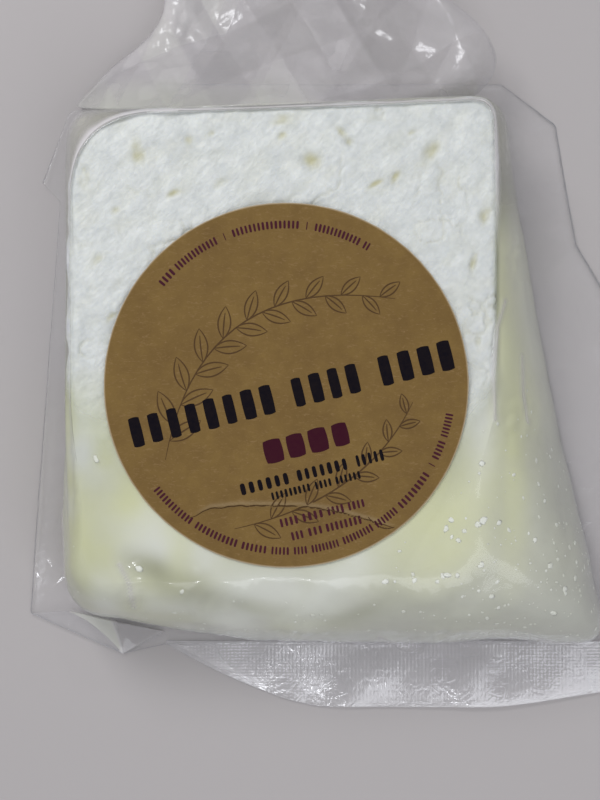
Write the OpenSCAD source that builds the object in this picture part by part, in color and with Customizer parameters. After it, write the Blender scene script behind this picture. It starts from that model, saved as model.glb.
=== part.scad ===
// Vacuum-packed feta block: a slab of cheese lying in brine between two webs of clear film,
// with a round paper label on its top face and a loose, crumpled end of the pouch behind it.
// Millimetres. +Z is up and +Y runs towards the loose end. The origin is on the resting face,
// under the middle of the whole pack.

/* [Cheese] */
// Width of the slab, left to right
block_w = 75; // [60:1:100]
// Length of the slab, front to back
block_l = 88; // [74:1:120]
// Height of the slab
block_h = 25; // [18:0.5:40]
// Rounding of the back left corner, seen from above
round_back_left = 12; // [5:0.5:16]
// Rounding of the back right corner
round_back_right = 4.5; // [3.5:0.5:12]
// Rounding of the front right corner
round_front_right = 14; // [5:0.5:18]
// Rounding of the front left corner
round_front_left = 8; // [4:0.5:14]
// Rounding of the edges round the top and bottom faces
edge_round = 2.4; // [1.2:0.2:3]
// Unevenness of the sides
curd_relief = 0.25; // [0:0.05:0.4]

/* [Pouch] */
// Thickness of one web of film
web_t = 0.3; // [0.2:0.05:0.5]
// Film and brine over the slab's top face
cover_t = 0.6; // [0.4:0.1:1.5]
// Reach of the filled pouch past the slab on the left
bulge_left = 3.6; // [3.2:0.2:10]
// Reach past the slab at the back
bulge_back = 3.6; // [3.2:0.2:8]
// Reach past the slab at the front
bulge_front = 9; // [4:0.5:16]
// Reach past the slab on the right, at the back corner
bulge_right_back = 3.8; // [3.2:0.2:10]
// Reach past the slab on the right, at the front corner, where the brine gathers
bulge_right_front = 21; // [8:0.5:26]

/* [Seams] */
// Width of the flat film left of the pouch, at the front
flange_left = 7.2; // [4:0.2:12]
// Width of the flat film right of the pouch
flange_right = 8.5; // [5:0.5:14]
// Width of the heat seal across the front
seal_w = 12; // [8:0.5:16]
// Unsealed film between the filled pouch and that heat seal
seal_gap = 1.8; // [1:0.2:4]
// How far the front seal's right end is narrower than the rest
seal_rise = 3.2; // [0:0.2:6]
// Length over which the front seal narrows to nothing at its left end
seal_slant = 31; // [20:1:45]
// Reach of the folded front left corner past the slab's left side
fold_reach = 15; // [10:0.5:20]
// How far the fold's tip stands in front of the seal's inner edge
fold_drop = 1.8; // [0.5:0.1:4]
// Flat film behind the pouch, under the loose end
back_lip = 4; // [2:0.5:8]

/* [Loose end] */
// Length of the loose end, without its heat seal
tail_l = 36; // [26:1:50]
// Width of the loose end at its heat seal
tail_end_w = 50; // [36:1:58]
// Thickness of the two webs, lying together
tail_t = 0.7; // [0.5:0.1:1.2]
// Height of the lengthwise pleats
pleat_h = 3.2; // [1:0.2:4.5]
// Number of lengthwise pleats
pleats = 4; // [2:1:6]
// Height of the curl along the right side
curl_h = 11; // [3:0.5:12]
// Width of the heat seal across the loose end
tail_seal_w = 9; // [6:0.5:12]

/* [Label] */
// Diameter of the paper label
label_d = 63.5; // [40:0.5:68]
// Thickness of the paper and its adhesive
label_t = 0.2; // [0.1:0.05:0.4]
// Centre of the label, right of the slab's middle
label_x = 0.5; // [-3:0.5:3]
// Centre of the label, in front of the slab's middle
label_forward = 6; // [0:0.5:9]

/* [Hidden] */

// Steps round each corner and along each side of an outline
arc_steps = 8;
side_steps = 12;
// Steps up the outside of the pouch
wall_steps = 11;
// 1 would make the pouch's wall an ellipse and 2 a straight slope
wall_power = 1.45;
// How far inside the slab's outline the film turns level
rim_inset = 1;
// Depth of the creases down the pouch's wall where it reaches furthest out, and their number
crease_h = 0.45;
creases = 17;
// Steps across and along the loose end
tail_columns = 44;
tail_rows = 22;
// Height at which the loose end leaves the pouch, as a share of the pouch's own
tail_root_share = 0.55;
// Clearance between the loose end and the pouch's wall
tail_seat = 0.25;
// How far the loose end draws in on the left and on the right, and the bulge of its right side
tail_draw_left = 5;
tail_draw_right = 3;
tail_belly_right = 6;
// Height of the folded corner, at its crease and at its rim
fold_h = 2.6;
fold_rim_h = 0.8;
// Clearance between the folded corner and the pouch's foot
fold_seat = 0.2;

left = -block_w / 2;
right = block_w / 2;
front = -block_l / 2;
back = block_l / 2;
floor_z = web_t;
top_z = web_t + block_h + cover_t;

seal_line = front - bulge_front - seal_gap;
seal_front = seal_line - seal_w;
foot_back_right = right + bulge_right_back;
web_back = back + bulge_back + back_lip;
far_left = left - bulge_left - flange_left;
far_right = right + bulge_right_front + flange_right;
far_back = back + bulge_back + tail_l + tail_seal_w;
middle = [(far_left + far_right) / 2, (seal_front + far_back) / 2];

film_colour = [0.88, 0.92, 0.9, 0.45];
seal_colour = [0.8, 0.82, 0.82, 0.8];

function mix(a, b, t) = a + (b - a) * t;
function unit(v) = v / norm(v);
function ease(t) = t <= 0 ? 0 : t >= 1 ? 1 : t * t * (3 - 2 * t);
function bend(a, b, c, t) = mix(mix(a, b, t), mix(b, c, t), t);
function mean(ring) = [for (k = [0 : 2]) [for (p = ring) 1] * [for (p = ring) p[k]] / len(ring)];
function at_height(ring, z) = [for (p = ring) [p.x, p.y, z]];

// A closed outline through four corners, front left first and anticlockwise:
// each corner is rounded over its own length and each side can be bowed outwards.
function outline(corners, rounds, bows) = [
    for (i = [0 : 3])
        let (here = corners[i],
             before = corners[(i + 3) % 4],
             after = corners[(i + 1) % 4],
             start = here + unit(before - here) * rounds[i],
             leave = here + unit(after - here) * rounds[i],
             arrive = after + unit(here - after) * rounds[(i + 1) % 4],
             along = unit(arrive - leave),
             out = [along.y, -along.x] * bows[i])
        each concat(
            [for (j = [0 : arc_steps]) bend(start, here, leave, j / arc_steps)],
            [for (k = [1 : side_steps - 1])
                let (t = k / side_steps) mix(leave, arrive, t) + out * 4 * t * (1 - t)])
];

// The same outline drawn in, square to its own edge
function inset(ring, d) =
    let (n = len(ring))
    [for (i = [0 : n - 1])
        let (along = unit(ring[(i + 1) % n] - ring[(i + n - 1) % n]))
        ring[i] - [along.y, -along.x] * d];

slab_outline = outline(
    [[left, front], [right, front], [right, back], [left, back]],
    [round_front_left, round_front_right, round_back_right, round_back_left],
    [0.8, 0.5, 0, -0.4]);

foot_outline = outline(
    [[left - bulge_left, front - bulge_front],
     [right + bulge_right_front, front - bulge_front],
     [right + bulge_right_back, back + bulge_back],
     [left - bulge_left, back + bulge_back]],
    [round_front_left, round_front_right, round_back_right, round_back_left],
    [0.6, -1, 0, 0]);

// One level of the slab: drawn in by d, at height z over the slab's bottom, with uneven sides
function slab_ring(d, z) =
    let (ring = inset(slab_outline, d))
    at_height([for (i = [0 : len(ring) - 1])
        ring[i] * (1 + curd_relief / block_w * (sin(i * 47 + z * 21) + sin(i * 113 - z * 13)))],
        floor_z + z);

slab_rings = [
    slab_ring(edge_round, 0),
    for (a = [30 : 30 : 90])
        slab_ring(edge_round * (1 - sin(a)), edge_round * (1 - cos(a))),
    for (k = [1 : 3])
        slab_ring(0, mix(edge_round, block_h - edge_round, k / 3)),
    for (a = [30 : 30 : 90])
        slab_ring(edge_round * (1 - cos(a)), block_h - edge_round * (1 - sin(a)))
];

// One level of the pouch's outside: a is 0 at its foot and 90 where it turns level
function wall_in(a) = 1 - pow(cos(a), wall_power);
function wall_up(a) = pow(sin(a), wall_power);
function wall_ring(a) =
    let (rim = inset(slab_outline, rim_inset), n = len(rim))
    [for (i = [0 : n - 1])
        let (reach = rim[i] - foot_outline[i],
             slack = pow(norm(reach) / bulge_right_front, 2),
             crease = crease_h * slack * sin(creases * 360 * i / n) * sin(2 * a),
             p = foot_outline[i] + reach * wall_in(a) + unit(reach) * crease)
        [p.x, p.y, mix(floor_z, top_z, wall_up(a))]];

// A closed skin over a list of rings that have as many points each. The first bands can be split
// along their other diagonal, so that a pocket's wall is the very surface of what fills it.
module loft(rings, turned = 0) {
    n = len(rings[0]);
    last = len(rings) - 1;
    first_hub = n * (last + 1);
    points = concat([for (r = rings) each r], [mean(rings[0]), mean(rings[last])]);
    walls = [
        for (k = [0 : last - 1], i = [0 : n - 1])
            let (a = k * n + i, b = k * n + (i + 1) % n)
            each k < turned
                ? [[a, a + n, b], [b, a + n, b + n]]
                : [[a, a + n, b + n], [a, b + n, b]]
    ];
    caps = [
        for (i = [0 : n - 1])
            let (j = (i + 1) % n)
            each [[first_hub, i, j], [first_hub + 1, last * n + j, last * n + i]]
    ];
    polyhedron(points, concat(walls, caps));
}

// The front seal narrows from its full width to nothing towards the folded corner
slant_start = [left + fold_reach, seal_line];
slant_end = [slant_start.x + seal_slant, seal_front];
slant_turn = [mix(slant_start.x, slant_end.x, 0.7), seal_front];

// Corners of the fold: its outer end, its tip and its inner end
fold_corners = [
    [far_left, front - bulge_front * 0.55],
    [left + fold_reach * 0.45, seal_line - fold_drop],
    slant_start
];

// The flat outline of the two webs, anticlockwise from the front left corner
web_outline = concat(
    [fold_corners[0], fold_corners[1]],
    [for (t = [0 : 0.2 : 1]) bend(slant_start, slant_turn, slant_end, t)],
    [[right, seal_front],
     [far_right, seal_front + seal_rise],
     [far_right, (front + back) / 2],
     [mix(foot_back_right, far_right, 0.75), back - block_l * 0.36],
     [mix(foot_back_right, far_right, 0.55), back - block_l * 0.26],
     [mix(foot_back_right, far_right, 0.4), back],
     [foot_back_right, web_back],
     [left + round_back_left, web_back],
     [left - bulge_left, back + bulge_back * 0.6],
     [left - bulge_left - flange_left * 0.7, back - round_back_left],
     [left - bulge_left - flange_left * 0.2, back - round_back_left * 1.1],
     [left - bulge_left - flange_left * 0.3, back - block_l / 4]]);

// The upper web where it lies flat on the lower one, between two corners of a rectangle
module flat_film(low, high) {
    translate([0, 0, floor_z])
    linear_extrude(web_t)
    intersection() {
        difference() {
            polygon(web_outline);
            polygon(foot_outline);
        }
        translate(low)
        square(high - low);
    }
}

// Surface of the loose end: u runs from its left side to its right, v from the pouch to the seal
tail_root_z = top_z * tail_root_share;
tail_root_y = mix(back + bulge_back, back - rim_inset,
    wall_in(asin(pow(tail_root_share, 1 / wall_power)))) + tail_seat;
tail_start_y = back + bulge_back + tail_seat;
function tail_point(u, v, lift) =
    let (narrow = (block_w - tail_end_w) / 2,
         belly = tail_belly_right * sin(180 * min(1, v * 1.7)) * (1 - v),
         x_left = mix(left + tail_draw_left * v, left + narrow, ease(v * 1.5)),
         x_right = mix(right - tail_draw_right * v + belly, right - narrow, ease(v * 1.4 - 0.25)),
         middle_share = pow(sin(180 * u), 0.35),
         y = mix(mix(tail_start_y, tail_root_y, middle_share), back + bulge_back + tail_l, v),
         fall = pow(1 - v, 2.2) * middle_share,
         loose = sin(180 * v),
         pleat = pleat_h * (1 + sin(360 * pleats * u + 70 * v)) / 2 * loose,
         curl = curl_h * pow(ease(u * 3.4 - 2.4), 1.3) * pow(loose, 0.8),
         z = mix(floor_z + web_t, tail_root_z, fall) + pleat + curl)
    [mix(x_left, x_right, u), y, mix(z, 0, ease(v * 4 - 3)) + lift];

module feta_block() {
    color([0.97, 0.97, 0.93])
    loft(slab_rings);
}

// Brine and upper web: the slab fills its pocket from below
module brine_pouch() {
    color([0.84, 0.87, 0.68, 0.5])
    loft([
        for (k = [len(slab_rings) - 1 : -1 : 0]) slab_rings[k],
        for (k = [0 : wall_steps]) wall_ring(90 * k / wall_steps)
    ], turned = len(slab_rings) - 1);
}

module lower_web() {
    color(film_colour)
    linear_extrude(web_t)
    polygon(web_outline);
}

module front_seal() {
    color(seal_colour)
    flat_film([slant_start.x, seal_front], [far_right, seal_line]);
}

module left_seam() {
    color(film_colour)
    flat_film([far_left, seal_line - fold_drop], [slant_start.x, web_back]);
}

module right_seam() {
    color(film_colour)
    flat_film([slant_start.x, seal_line], [far_right, web_back]);
}

// The pouch's front left corner, folded over on itself beside the pouch's foot
module corner_fold() {
    nook = [left - bulge_left, front - bulge_front - fold_seat];
    inner = [slant_start.x, front - bulge_front - seal_gap * 0.7];
    base = floor_z + web_t;
    plan = [fold_corners[0], fold_corners[1], inner, nook];
    heights = [fold_rim_h, fold_rim_h, fold_h / 2, fold_h];
    color(film_colour)
    polyhedron(
        concat(at_height(plan, base), [for (i = [0 : 3]) [plan[i].x, plan[i].y, base + heights[i]]]),
        [[0, 1, 3], [1, 2, 3], [7, 5, 4], [7, 6, 5],
         [0, 4, 5, 1], [1, 5, 6, 2], [2, 6, 7, 3], [3, 7, 4, 0]]);
}

module loose_end() {
    across = tail_columns + 1;
    sheet = across * (tail_rows + 1);
    points = [
        for (lift = [tail_t, 0], r = [0 : tail_rows], c = [0 : tail_columns])
            tail_point(c / tail_columns, r / tail_rows, lift)
    ];
    rim = concat(
        [for (c = [0 : tail_columns - 1]) c],
        [for (r = [0 : tail_rows - 1]) r * across + tail_columns],
        [for (c = [tail_columns : -1 : 1]) tail_rows * across + c],
        [for (r = [tail_rows : -1 : 1]) r * across]);
    faces = concat(
        [for (r = [0 : tail_rows - 1], c = [0 : tail_columns - 1])
            let (a = r * across + c, b = a + across)
            each [[a, b, b + 1], [a, b + 1, a + 1],
                  [sheet + a, sheet + b + 1, sheet + b], [sheet + a, sheet + a + 1, sheet + b + 1]]],
        [for (k = [0 : len(rim) - 1])
            let (a = rim[k], b = rim[(k + 1) % len(rim)])
            each [[a, b, sheet + b], [a, sheet + b, sheet + a]]]);
    color(film_colour)
    polyhedron(points, faces);
}

module end_seal() {
    color(seal_colour)
    translate([-tail_end_w / 2, back + bulge_back + tail_l, 0])
    cube([tail_end_w, tail_seal_w, tail_t]);
}

module label() {
    color([0.62, 0.47, 0.28])
    translate([label_x, -label_forward, top_z])
    cylinder(h = label_t, d = label_d, $fn = 96);
}

translate([-middle.x, -middle.y, 0]) {
    feta_block();
    brine_pouch();
    lower_web();
    front_seal();
    left_seam();
    right_seam();
    corner_fold();
    loose_end();
    end_seal();
    label();
}
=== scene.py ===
import math

import bpy
import numpy as np
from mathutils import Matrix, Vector


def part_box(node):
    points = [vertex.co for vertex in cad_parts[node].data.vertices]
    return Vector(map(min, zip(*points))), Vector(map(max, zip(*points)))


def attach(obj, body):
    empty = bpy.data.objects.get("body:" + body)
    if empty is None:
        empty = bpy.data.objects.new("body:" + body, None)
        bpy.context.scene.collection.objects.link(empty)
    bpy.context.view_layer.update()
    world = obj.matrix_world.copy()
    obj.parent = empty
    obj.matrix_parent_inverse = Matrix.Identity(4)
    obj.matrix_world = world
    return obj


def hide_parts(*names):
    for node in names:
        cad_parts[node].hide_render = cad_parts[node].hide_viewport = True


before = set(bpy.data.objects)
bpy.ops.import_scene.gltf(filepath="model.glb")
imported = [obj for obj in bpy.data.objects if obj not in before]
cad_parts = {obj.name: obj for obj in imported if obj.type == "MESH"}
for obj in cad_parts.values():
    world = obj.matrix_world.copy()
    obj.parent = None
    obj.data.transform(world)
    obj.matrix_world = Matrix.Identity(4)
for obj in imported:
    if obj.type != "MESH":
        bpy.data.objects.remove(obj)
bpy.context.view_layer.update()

# Shapes are worked out in millimetres from the middle of the cheese, as seen from above,
# and go into their meshes in metres, in the pack's own frame.
metre = 1000.0


def nodeBox(name):
    low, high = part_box(name)
    return np.array(low) * metre, np.array(high) * metre


labelLow, labelHigh = nodeBox("label")
labelRadius = (labelHigh[0] - labelLow[0]) / 2
labelAt = np.array([0.5, -6.0])                       # the label's centre, from the middle of the cheese
middle = (labelLow + labelHigh)[:2] / 2 - labelAt     # the middle of the cheese, in the pack's frame
slabBottom, slabTop = [corner[2] for corner in nodeBox("feta_block")]
filmTop = nodeBox("brine_pouch")[1][2]


def smooth(t):
    t = np.clip(t, 0, 1)
    return t * t * (3 - 2 * t)


def ramp(value, start, end):
    # 0 before start, 1 after end and a soft turn between them; start may be the larger one
    return smooth((value - start) / (end - start))


def mix(a, b, t):
    return a + (b - a) * t


def bell(distance, width):
    # 1 in the middle, falling off softly over that width
    return np.exp(-(distance / width) ** 2)


def latticeValue(cell, seed):
    # one repeatable number from -1 to 1 for each whole-number cell
    h = cell[..., 0] * 73856093 ^ cell[..., 1] * 19349663 ^ cell[..., 2] * 83492791 ^ seed * 39916801
    h = (h ^ (h >> 13)) * 1274126177 & 0x7FFFFFFF
    h = h ^ (h >> 15)
    return (h & 0xFFFF) / 32767.5 - 1


def noise(points, size, seed):
    # value noise: lattice numbers that far apart, blended smoothly between a cell's eight corners
    q = points / size
    cell = np.floor(q).astype(np.int64)
    t = q - cell
    t = t * t * (3 - 2 * t)
    total = np.zeros(points.shape[:-1])
    for corner in np.ndindex(2, 2, 2):
        weight = np.prod(np.where(corner, t, 1 - t), axis=-1)
        total += weight * latticeValue(cell + np.array(corner), seed)
    return total


def fractal(points, size, seed, octaves):
    # noise added to itself at half the size and half the strength each time
    return sum(0.5 ** k * noise(points, size / 2 ** k, seed + 7 * k) for k in range(octaves))


def turned(x, y, degrees):
    # places in plan, measured along and beside a direction
    a = math.radians(degrees)
    return x * math.cos(a) + y * math.sin(a), y * math.cos(a) - x * math.sin(a)


def fromLabel(points):
    # across and up from the label's centre
    return points[..., 0] - labelAt[0], points[..., 1] - labelAt[1]


def streaked(points, degrees, stretch):
    # points turned in plan and squeezed along their new first axis, which draws noise out into streaks
    along, beside = turned(points[..., 0], points[..., 1], degrees)
    return np.stack([along / stretch, beside, points[..., 2]], axis=-1)


def zigzag(t):
    # a triangle wave from 0 to 1 and back for each whole step of t
    return np.abs(t - np.round(t)) * 2


def crumple(points, size, seed, wander=0.4):
    # sharp folds: triangle waves in four directions, each bent by noise, averaged;
    # and which side of its fold each place lies on, averaged the same way
    rng = np.random.default_rng(seed)
    count = 4
    total, sides = np.zeros(points.shape[:-1]), np.zeros(points.shape[:-1])
    for k in range(count):
        angle, pitch, start = rng.uniform(0, math.pi), size * rng.uniform(0.7, 1.6), rng.uniform()
        bent = noise(points, size * 1.7, seed + 31 * k) * wander
        along = points[..., 0] * math.cos(angle) + points[..., 1] * math.sin(angle)
        t = along / pitch + bent + start
        total += (zigzag(t) - 0.5) * pitch / size
        sides += np.sign(t - np.round(t))
    return total / count, sides / count


def gridNormals(points, wrap):
    # the cross product of the step along each row of points and the step to the next row
    if wrap:
        across = np.roll(points, -1, axis=1) - np.roll(points, 1, axis=1)
    else:
        across = np.gradient(points, axis=1)
    n = np.cross(across, np.gradient(points, axis=0))
    return n / np.maximum(np.linalg.norm(n, axis=-1, keepdims=True), 1e-9)


def gridFaces(rows, columns, wrap):
    r = np.arange(rows - 1)[:, None]
    c = np.arange(columns if wrap else columns - 1)[None, :]
    a = r * columns + c
    b = r * columns + (c + 1) % columns
    return np.stack([a, b, b + columns, a + columns], axis=-1).reshape(-1, 4)


def buildPiece(name, points, faces, material, replaced=(), values=None, rounded=True):
    # one object from whole arrays: points in millimetres, faces of three or four corners
    mesh = bpy.data.meshes.new(name)
    counts = np.concatenate([np.full(len(f), f.shape[1]) for f in faces])
    corners = np.concatenate([f.ravel() for f in faces])
    placed = points + np.array([middle[0], middle[1], 0])
    mesh.vertices.add(len(points))
    mesh.vertices.foreach_set("co", (placed / metre).astype(np.float32).ravel())
    mesh.loops.add(len(corners))
    mesh.loops.foreach_set("vertex_index", corners.astype(np.int32))
    mesh.polygons.add(len(counts))
    starts = np.concatenate([[0], np.cumsum(counts)[:-1]])
    mesh.polygons.foreach_set("loop_start", starts.astype(np.int32))
    mesh.polygons.foreach_set("loop_total", counts.astype(np.int32))
    mesh.polygons.foreach_set("use_smooth", np.full(len(counts), rounded))
    mesh.update(calc_edges=True)
    mesh.validate()
    for key, data in (values or {}).items():
        mesh.attributes.new(key, "FLOAT", "POINT").data.foreach_set("value", data.astype(np.float32))
    mesh.materials.append(material)
    piece = bpy.data.objects.new(name, mesh)
    bpy.context.scene.collection.objects.link(piece)
    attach(piece, "root")
    if replaced:
        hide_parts(*replaced)
    print(f"{name}: {int((counts - 2).sum())} triangles")
    return piece


def closedLoft(name, points, material, replaced, values):
    # rings from the middle of the underside, out, up and in over the top, with a hub at each end
    rows, columns = points.shape[:2]
    hubs = np.stack([points[0].mean(0), points[-1].mean(0)])
    flat = np.concatenate([points.reshape(-1, 3), hubs])
    c = np.arange(columns)
    after = (c + 1) % columns
    first = np.stack([np.full(columns, rows * columns), after, c], axis=-1)
    top = (rows - 1) * columns
    last = np.stack([np.full(columns, rows * columns + 1), top + c, top + after], axis=-1)
    spread = {k: np.concatenate([v.ravel(), [v[0].mean(), v[-1].mean()]]) for k, v in values.items()}
    faces = [gridFaces(rows, columns, True), first, last]
    return buildPiece(name, flat, faces, material, replaced, spread)


def sheetFaces(rows, columns):
    # the faces of two grids of the same size, one over the other, stitched together round their rim
    half = rows * columns
    top = gridFaces(rows, columns, False)
    index = np.arange(half).reshape(rows, columns)
    rim = np.concatenate([index[0, :-1], index[:-1, -1], index[-1, :0:-1], index[:0:-1, 0]])
    after = np.roll(rim, -1)
    sides = np.stack([rim, rim + half, after + half, after], axis=-1)
    return np.concatenate([top, top[:, ::-1] + half, sides])


def repeatFaces(faces, count, step):
    # the same faces for each of many small bodies that follow one another in one mesh
    return (faces[None] + (np.arange(count) * step)[:, None, None]).reshape(-1, faces.shape[1])


def closedSheet(name, upper, lower, material, replaced, values):
    flat = np.concatenate([upper.reshape(-1, 3), lower.reshape(-1, 3)])
    spread = {k: np.tile(v.ravel(), 2) for k, v in values.items()}
    return buildPiece(name, flat, [sheetFaces(*upper.shape[:2])], material, replaced, spread)


def roundedOutline(corners, rounds, bows):
    # straight or bowed sides between corners that a quadratic curve rounds off;
    # a bowed side is the straight one pushed out by its bow times 4 t (1 - t)
    corners = np.array(corners, float)
    t = np.linspace(0, 1, 90)[:, None]
    out = []
    count = len(corners)
    for i in range(count):
        here, before, after = corners[i], corners[i - 1], corners[(i + 1) % count]
        back = (before - here) / np.linalg.norm(before - here)
        ahead = (after - here) / np.linalg.norm(after - here)
        start, leave = here + back * rounds[i], here + ahead * rounds[i]
        arrive = after - ahead * rounds[(i + 1) % count]
        out.append((1 - t) ** 2 * start + 2 * t * (1 - t) * here + t ** 2 * leave)
        side = np.array([ahead[1], -ahead[0]]) * bows[i]
        out.append(mix(leave, arrive, t) + side * 4 * t * (1 - t))
    return np.concatenate(out)


def bend(a, b, c, t):
    # the quadratic curve from a to c that b pulls
    a, b, c, t = np.array(a), np.array(b), np.array(c), np.asarray(t)[..., None]
    return (1 - t) ** 2 * a + 2 * t * (1 - t) * b + t ** 2 * c


def radiusAt(outline, angles):
    # how far a closed outline is from the label's centre in each direction
    loop = np.concatenate([outline, outline[:1]])
    steps = np.linspace(0, 1, 30, endpoint=False)[:, None, None]
    dense = mix(loop[:-1], loop[1:], steps).transpose(1, 0, 2).reshape(-1, 2) - labelAt
    turn = np.arctan2(dense[:, 1], dense[:, 0])
    order = np.argsort(turn, kind="stable")
    return np.interp(angles, turn[order], np.hypot(dense[:, 0], dense[:, 1])[order], period=2 * math.pi)


slabShape = {
    "rounds": (8, 15, 4.5, 15),       # corners: front left, front right, back right, back left
    "bows": (0.8, 0.5, 0, 0.1),       # sides: front, right, back, left
    "skew": 2.6,                      # how much further back the right side reaches than the left
    "edge": 2.4,                      # rounding of the top and bottom edges
    "frontEdge": 5.5,                 # rounding where the front of the slab lies under brine
}
pouchShape = {
    "rounds": (8, 14, 5, 4.5, 5),     # front left, front middle, front right, back right, back left
    "bows": (0, 0, -1, 0, 0),
    "power": 1.45,                    # of the dry back wall; 1 is an ellipse, 2 a straight slope
    "frontPower": 1.08,               # of the walls under brine
    "rimInset": 1.0,                  # how far inside the slab's outline the film turns level
    "waves": 0.9,                     # unevenness of the slack walls
    "folds": 1.5,
    "puckers": 0.8,
    "creases": 0.22,
}
left, right, front, back = -37.5, 37.5, -44.0, 44.0                    # the slab's sides
footLeft, footFront, footBack = left - 3.6, front - 9.0, back + 3.6    # where the pouch meets the table
footFrontRight, footBackRight = right + 23.5, right + 3.8
slabOutline = roundedOutline(
    [(left - 0.5, front), (right, front), (right, back + 0.9),
     (left - 0.5, back + 0.7 - slabShape["skew"])],
    slabShape["rounds"], slabShape["bows"])
footOutline = roundedOutline(
    [(footLeft, footFront + 5.0), (-5.0, footFront - 1.0), (footFrontRight, footFront - 0.9),
     (footBackRight, footBack), (footLeft, footBack - 1.0)],
    pouchShape["rounds"], pouchShape["bows"])
sealLine, sealFront = footFront - 1.8, footFront - 13.8                # the front seal's two edges
farLeft, farRight = footLeft - 7.2, footFrontRight + 6.0               # the flat margins' ends
webBack = footBack + 4.0
foldTip, slantStart, slantEnd = (-30.75, -56.6), (-22.5, sealLine), (8.5, sealFront)
sideAndBack = [
    (farRight, 0), (60.6, 12.3), (55.4, 21.1), (51.6, 44), (41.3, webBack), (-25.5, webBack),
    (-41.1, 46.2), (-46.1, 32.6), (-42.8, 29.4), (-43.3, 22), (farLeft, -48.95), foldTip,
]
bagOutline = np.array([slantStart, (farRight, sealLine)] + sideAndBack)

columns = 660                         # points round each ring of a round piece
wallRows, topRows = 39, 69            # rings of the pouch's wall and of its top
hubRows = 8                           # the last rings of the top, under the label's middle
angles = np.arange(columns) * 2 * math.pi / columns
outward = np.stack([np.cos(angles), np.sin(angles), 0 * angles], axis=-1)
slabRadius = radiusAt(slabOutline, angles)
footRadius = radiusAt(footOutline, angles)
bagRadius = np.maximum(radiusAt(bagOutline, angles), footRadius + 0.15)
underBrine = ramp(-slabRadius * np.sin(angles), 2, 28)       # 1 for the slab's front, 0 for its back
edgeRound = mix(slabShape["edge"], slabShape["frontEdge"], underBrine)
wallPower = mix(pouchShape["power"], pouchShape["frontPower"], underBrine)
softInset = np.clip(1.5 + 0.33 * (footRadius - slabRadius), 0, 5.5)
rimRadius = slabRadius - pouchShape["rimInset"] - underBrine * softInset


def ring(radius, height):
    # one level of a round piece: the radius in every direction and the height, as points
    points = np.append(labelAt, 0) + outward * (radius + np.zeros(columns))[:, None]
    points[:, 2] = height
    return points


def reachOf(points):
    # how far points are from the label's centre, in plan
    return np.hypot(*fromLabel(points))


def outlineAt(points, radius):
    # how far an outline is from the label's centre, in the direction of each of the points
    x, y = fromLabel(points)
    return np.interp(np.arctan2(y, x), angles, radius, period=2 * math.pi)


def addNode(tree, kind, inputs=None, **settings):
    # one shader node: plain values go on its sockets, and sockets of other nodes are linked to them
    node = tree.nodes.new(kind)
    for key, value in settings.items():
        setattr(node, key, value)
    for key, value in (inputs or {}).items():
        if isinstance(value, bpy.types.NodeSocket):
            tree.links.new(value, node.inputs[key])
        else:
            node.inputs[key].default_value = value
    return node


def mixColour(tree, amount, a, b):
    # sockets 6, 7 and output 2 are the node's colours; 0 is the share of the second one
    return addNode(tree, "ShaderNodeMix", {0: amount, 6: a, 7: b}, data_type="RGBA").outputs[2]


def maths(tree, operation, a, b=0.0, clamp=False):
    node = addNode(tree, "ShaderNodeMath", {0: a, 1: b}, operation=operation, use_clamp=clamp)
    return node.outputs[0]


def attribute(tree, name):
    return addNode(tree, "ShaderNodeAttribute", attribute_name=name).outputs["Fac"]


def objectPlace(tree):
    return addNode(tree, "ShaderNodeTexCoord").outputs["Object"]


def colour(red, green, blue):
    return (red, green, blue, 1.0)


def newGroup(name, inputs, outputs):
    # an empty node group with named inputs, each with its usual value, and named outputs
    tree = bpy.data.node_groups.new(name, "ShaderNodeTree")
    for label, kind, usual in inputs:
        socket = tree.interface.new_socket(label, in_out="INPUT", socket_type=kind)
        socket.default_value = usual
    for label, kind in outputs:
        tree.interface.new_socket(label, in_out="OUTPUT", socket_type=kind)
    return tree, tree.nodes.new("NodeGroupInput"), tree.nodes.new("NodeGroupOutput")


def makeMottleGroup():
    # blotches: two layers of noise on Object coordinates, the second four times finer,
    # added and stretched round one half by the contrast
    tree, given, result = newGroup(
        "mottle",
        [("Size mm", "NodeSocketFloat", 5.0), ("Contrast", "NodeSocketFloat", 1.0)],
        [("Mask", "NodeSocketFloat")])
    place = objectPlace(tree)
    scale = maths(tree, "DIVIDE", metre, given.outputs["Size mm"])
    coarse = addNode(tree, "ShaderNodeTexNoise", {"Vector": place, "Scale": scale, "Detail": 3.0})
    fineScale = maths(tree, "MULTIPLY", scale, 4.0)
    fine = addNode(tree, "ShaderNodeTexNoise", {"Vector": place, "Scale": fineScale, "Detail": 2.0})
    both = addNode(tree, "ShaderNodeMix", {0: 0.35, 2: coarse.outputs[0], 3: fine.outputs[0]})
    centred = maths(tree, "SUBTRACT", both.outputs[0], 0.5)
    stretched = maths(tree, "MULTIPLY", centred, maths(tree, "MULTIPLY", given.outputs["Contrast"], 3.0))
    tree.links.new(maths(tree, "ADD", stretched, 0.5, clamp=True), result.inputs["Mask"])
    return tree


def makeCrinkleGroup():
    # the small creases of tight film: ridges where warped noise crosses its middle value
    tree, given, result = newGroup(
        "crinkle",
        [("Size mm", "NodeSocketFloat", 4.0), ("Sharpness", "NodeSocketFloat", 5.0)],
        [("Height", "NodeSocketFloat")])
    place = objectPlace(tree)
    scale = maths(tree, "DIVIDE", metre, given.outputs["Size mm"])
    wave = addNode(tree, "ShaderNodeTexNoise",
                   {"Vector": place, "Scale": scale, "Detail": 1.5, "Distortion": 0.8})
    off = maths(tree, "ABSOLUTE", maths(tree, "SUBTRACT", wave.outputs[0], 0.5))
    steep = maths(tree, "MULTIPLY", off, given.outputs["Sharpness"])
    tree.links.new(maths(tree, "SUBTRACT", 1.0, steep, clamp=True), result.inputs["Height"])
    return tree


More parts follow.
